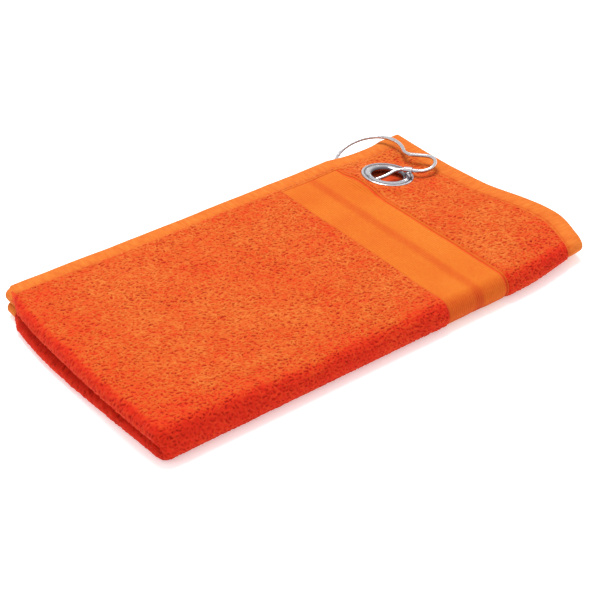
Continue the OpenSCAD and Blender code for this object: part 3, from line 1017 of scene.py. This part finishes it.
def eyelet_profile():
    """Closed section: a domed flange with a turned rim, the throat, the roll beneath, and the inside
    of the sheet metal, with heights from EYE along the axis. Also how much shade is painted on each
    point."""
    R, T = EYE_FLANGE_R, EYE_THROAT_R
    flange = [
        (R, 0.65), (R + 0.08, 0.9), (R - 0.2, 1.15), (R - 0.7, 1.25), (R - 1.25, 1.13), (R - 1.6, 0.93),
        (R - 2.0, 0.96), (R - 2.7, 1.2), (R - 3.6, 1.4), (R - 4.4, 1.32), (R - 5.1, 1.02), (T + 0.2, 0.5),
    ]
    # Painted shade in the flange's groove and on its slopes; the throat, roll and inside get 0.8.
    painted_shade_share = [0.5, 0, 0, 0, 0.3, 1.0, 0.6, 0, 0, 0.1, 0.7, 0.95]
    throat_and_roll = [
        (T, 0.0), (T + 0.15, -0.8), (T + 0.6, -1.45), (T + 1.3, -1.88), (T + 2.1, -2.0), (T + 3.0, -1.98),
    ]
    inside = [
        (T + 3.0, -1.58), (T + 2.1, -1.58), (T + 1.3, -1.45), (T + 0.85, -1.1), (T + 0.5, 0.0),
        (T + 0.6, 0.35), (R - 4.8, 0.65), (R - 4.2, 0.9), (R - 3.5, 1.0), (R - 2.7, 0.82),
        (R - 2.0, 0.62), (R - 1.3, 0.6), (R - 0.5, 0.68),
    ]
    return flange + throat_and_roll + inside, painted_shade_share + [0.8] * len(throat_and_roll + inside)


eyelet = lathe("eyelet_metal", *eyelet_profile(), 160, eyelet_mat)
sub = eyelet.modifiers.new("smooth", "SUBSURF")
sub.levels = sub.render_levels = 1
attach(eyelet, upper)

# ---- the hook --------------------

# The same sizes as in the CAD: radii of the two loops, between their middles, and of the neck's bends.
BIG_R, SMALL_R, SPACING, NECK_R = 19.5, 6.6, 32.0, 7.0
HOOK_TILT, HOOK_TURN = math.radians(13), math.radians(120)
FIXED_END_X, GATE_END_X = -27.5, -24.4  # ends of the wire on the small loop's straight, in the catch
pivot = np.array(joints["gate_spring"]["pos_m"]) / MM
tilted_x = np.array([math.cos(HOOK_TILT), 0, math.sin(HOOK_TILT)])
HX = math.cos(HOOK_TURN) * tilted_x + math.sin(HOOK_TURN) * np.array([0, 1.0, 0])
HY = -math.sin(HOOK_TURN) * tilted_x + math.cos(HOOK_TURN) * np.array([0, 1.0, 0])
HZ = np.cross(HX, HY)
HO = pivot - BIG_R * HX
NECK_Y = SMALL_R + NECK_R
NECK_X = -math.sqrt((BIG_R + NECK_R) ** 2 - NECK_Y**2)
NECK_TURN = math.atan2(NECK_Y, -NECK_X)


def arc(cx, cy, r, a0, a1, n):
    """n points of an arc about (cx, cy), in the hook's own plane."""
    a = np.linspace(a0, a1, n)
    return [(cx + r * math.cos(t), cy + r * math.sin(t)) for t in a]


def wire_path(side, end_x):
    """Half of the hook, from the big loop's far end to end_x on the small loop's straight."""
    pts = arc(0, 0, BIG_R, 0, side * (math.pi - NECK_TURN), 60)
    pts += arc(NECK_X, side * NECK_Y, NECK_R, -side * NECK_TURN, -side * math.pi / 2, 14)[1:]
    pts += [(x, side * SMALL_R) for x in np.linspace(NECK_X, end_x, 10)[1:]]
    return pts


def wire(name, flat):
    """A round wire along points of the hook's plane, with shade painted on its underside."""
    c = np.array([HO + HX * a + HY * b for a, b in flat])
    d = np.gradient(c, axis=0)
    d = d / np.linalg.norm(d, axis=1, keepdims=True)
    side = np.cross(d, HZ)
    a = np.linspace(0, 2 * math.pi, 24, endpoint=False)
    rings = c[:, None] + WIRE_R * (
        np.cos(a)[None, :, None] * side[:, None] + np.sin(a)[None, :, None] * HZ[None, None]
    )
    # Painted shade on the wire's underside.
    under = np.broadcast_to(0.85 * smooth((0.25 - np.sin(a)) / 0.9), (len(c), len(a)))
    obj = tube(name, rings, hook_mat, {"painted_shade": under})
    return obj


closed = wire_path(-1, -SPACING)
closed += arc(-SPACING, 0, SMALL_R, -math.pi / 2, -3 * math.pi / 2, 40)[1:]
closed += [(x, SMALL_R) for x in np.linspace(-SPACING, FIXED_END_X, 6)[1:]]
hook = wire("hook_wire_steel", closed)
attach(hook, "hook")
gate = wire("hook_gate_steel", wire_path(1, GATE_END_X))
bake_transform(gate)

# ---- which CAD nodes these stand for --------------------

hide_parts("outer_terry_upper", "end_fold_upper")
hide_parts("eyelet_strip_upper")
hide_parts("outer_terry_lower", "end_fold_lower")
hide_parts("outer_strip_lower")
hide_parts("inner_terry_upper")
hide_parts("inner_strip_upper")
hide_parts("inner_border_upper")
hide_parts("inner_terry_lower")
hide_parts("inner_strip_lower")
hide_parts("inner_border_lower")
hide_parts("outer_border_upper", "outer_border_lower")
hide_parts("side_hem_upper")
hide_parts("side_hem_lower")
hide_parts("outer_end_hem_upper", "outer_end_hem_lower")
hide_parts("inner_end_hem_upper")
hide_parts("inner_end_hem_lower")
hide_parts("side_stitching_upper", "end_stitching_upper")
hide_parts("side_stitching_lower", "end_stitching_lower")
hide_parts("eyelet")
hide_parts("hook_wire")
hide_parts("hook_gate")


def repaint(node, material):
    """Give a CAD node that stays visible another material."""
    data = frame["nodes"][node].data
    data.materials.clear()
    data.materials.append(material)


repaint("eyelet_washer", eyelet_mat)
repaint("hook_catch", hook_mat)

# ---- camera, stage and light --------------------

# The camera fits the corners of the folded towel, 250 x 150 mm, as the photo shows them.
CAMERA = Vector((-392.9, -547.0, 461.2)) * MM
AZIMUTH, ELEVATION, ROLL = math.radians(-35.6), math.radians(34.75), math.radians(-1.94)
FOV = math.radians(21.24)

back = Vector((
    math.sin(AZIMUTH) * math.cos(ELEVATION),
    -math.cos(AZIMUTH) * math.cos(ELEVATION),
    math.sin(ELEVATION),
))
level = Vector((math.cos(AZIMUTH), math.sin(AZIMUTH), 0))
right = level * math.cos(ROLL) + back.cross(level) * math.sin(ROLL)
up = back.cross(right)
cam_data = bpy.data.cameras.new("camera")
cam_data.sensor_width = 36
cam_data.angle = FOV
cam_data.clip_start = 0.01
cam = bpy.data.objects.new("camera", cam_data)
cam.matrix_world = Matrix((
    (right.x, up.x, back.x, CAMERA.x),
    (right.y, up.y, back.y, CAMERA.y),
    (right.z, up.z, back.z, CAMERA.z),
    (0, 0, 0, 1),
))
bpy.context.collection.objects.link(cam)
bpy.context.scene.camera = cam


def stage_sheet(name, material, corners):
    """A flat sheet of four corners that belongs to the studio."""
    mesh = bpy.data.meshes.new(name)
    mesh.from_pydata(corners, [], [(0, 1, 2, 3)])
    mesh.materials.append(material)
    obj = bpy.data.objects.new(name, mesh)
    bpy.context.collection.objects.link(obj)
    return obj


def plain_material(name, grey):
    material, _, _, shader = new_material(name)
    shader.inputs["Base Color"].default_value = (grey, grey, grey, 1)
    shader.inputs["Roughness"].default_value = 0.9
    return material, shader


# White paper that glows a little, to be as pale as the photo's ground.
paper, shader = plain_material("floor_paper", 0.92)
shader.inputs["Specular IOR Level"].default_value = 0.1
shader.inputs["Emission Color"].default_value = (1, 1, 1, 1)
shader.inputs["Emission Strength"].default_value = 0.33
reach = 6.0
floor = stage_sheet(
    "floor", paper, [(-reach, -reach, 0), (reach, -reach, 0), (reach, reach, 0), (-reach, reach, 0)])

# A dark card behind the towel, out of the picture, for the metal to reflect.
black, _ = plain_material("flag_cloth", 0.01)
flag_at = Vector((0.09, 0.042, 0.015)) + Vector((0.50, 0.70, 0.52)).normalized() * 1.1
flag_across = Vector((0.81, -0.58, 0)) * 0.42
flag_up = Vector((-0.3, -0.42, 0.85)) * 0.045
flag = stage_sheet("flag", black, [
    flag_at - flag_across - flag_up, flag_at + flag_across - flag_up,
    flag_at + flag_across + flag_up, flag_at - flag_across + flag_up,
])


def area_light(name, place, size, power):
    """A round light that shines at the towel's middle."""
    data = bpy.data.lights.new(name, "AREA")
    data.shape = "DISK"
    data.size = size
    data.energy = power
    light = bpy.data.objects.new(name, data)
    light.location = place
    light.rotation_euler = (-Vector(place)).to_track_quat("-Z", "Y").to_euler()
    bpy.context.collection.objects.link(light)


area_light("key", (0.15, 0.45, 1.7), 0.9, 27)
area_light("fill", (-1.3, -0.4, 1.1), 1.2, 1.5)

world = bpy.data.worlds.new("studio")
bpy.context.scene.world = world
world.use_nodes = True
sky = world.node_tree.nodes["Background"]
sky.inputs["Color"].default_value = (1, 1, 1, 1)
sky.inputs["Strength"].default_value = 0.85
bpy.context.scene.view_settings.view_transform = "Standard"
bpy.context.scene.view_settings.look = "None"
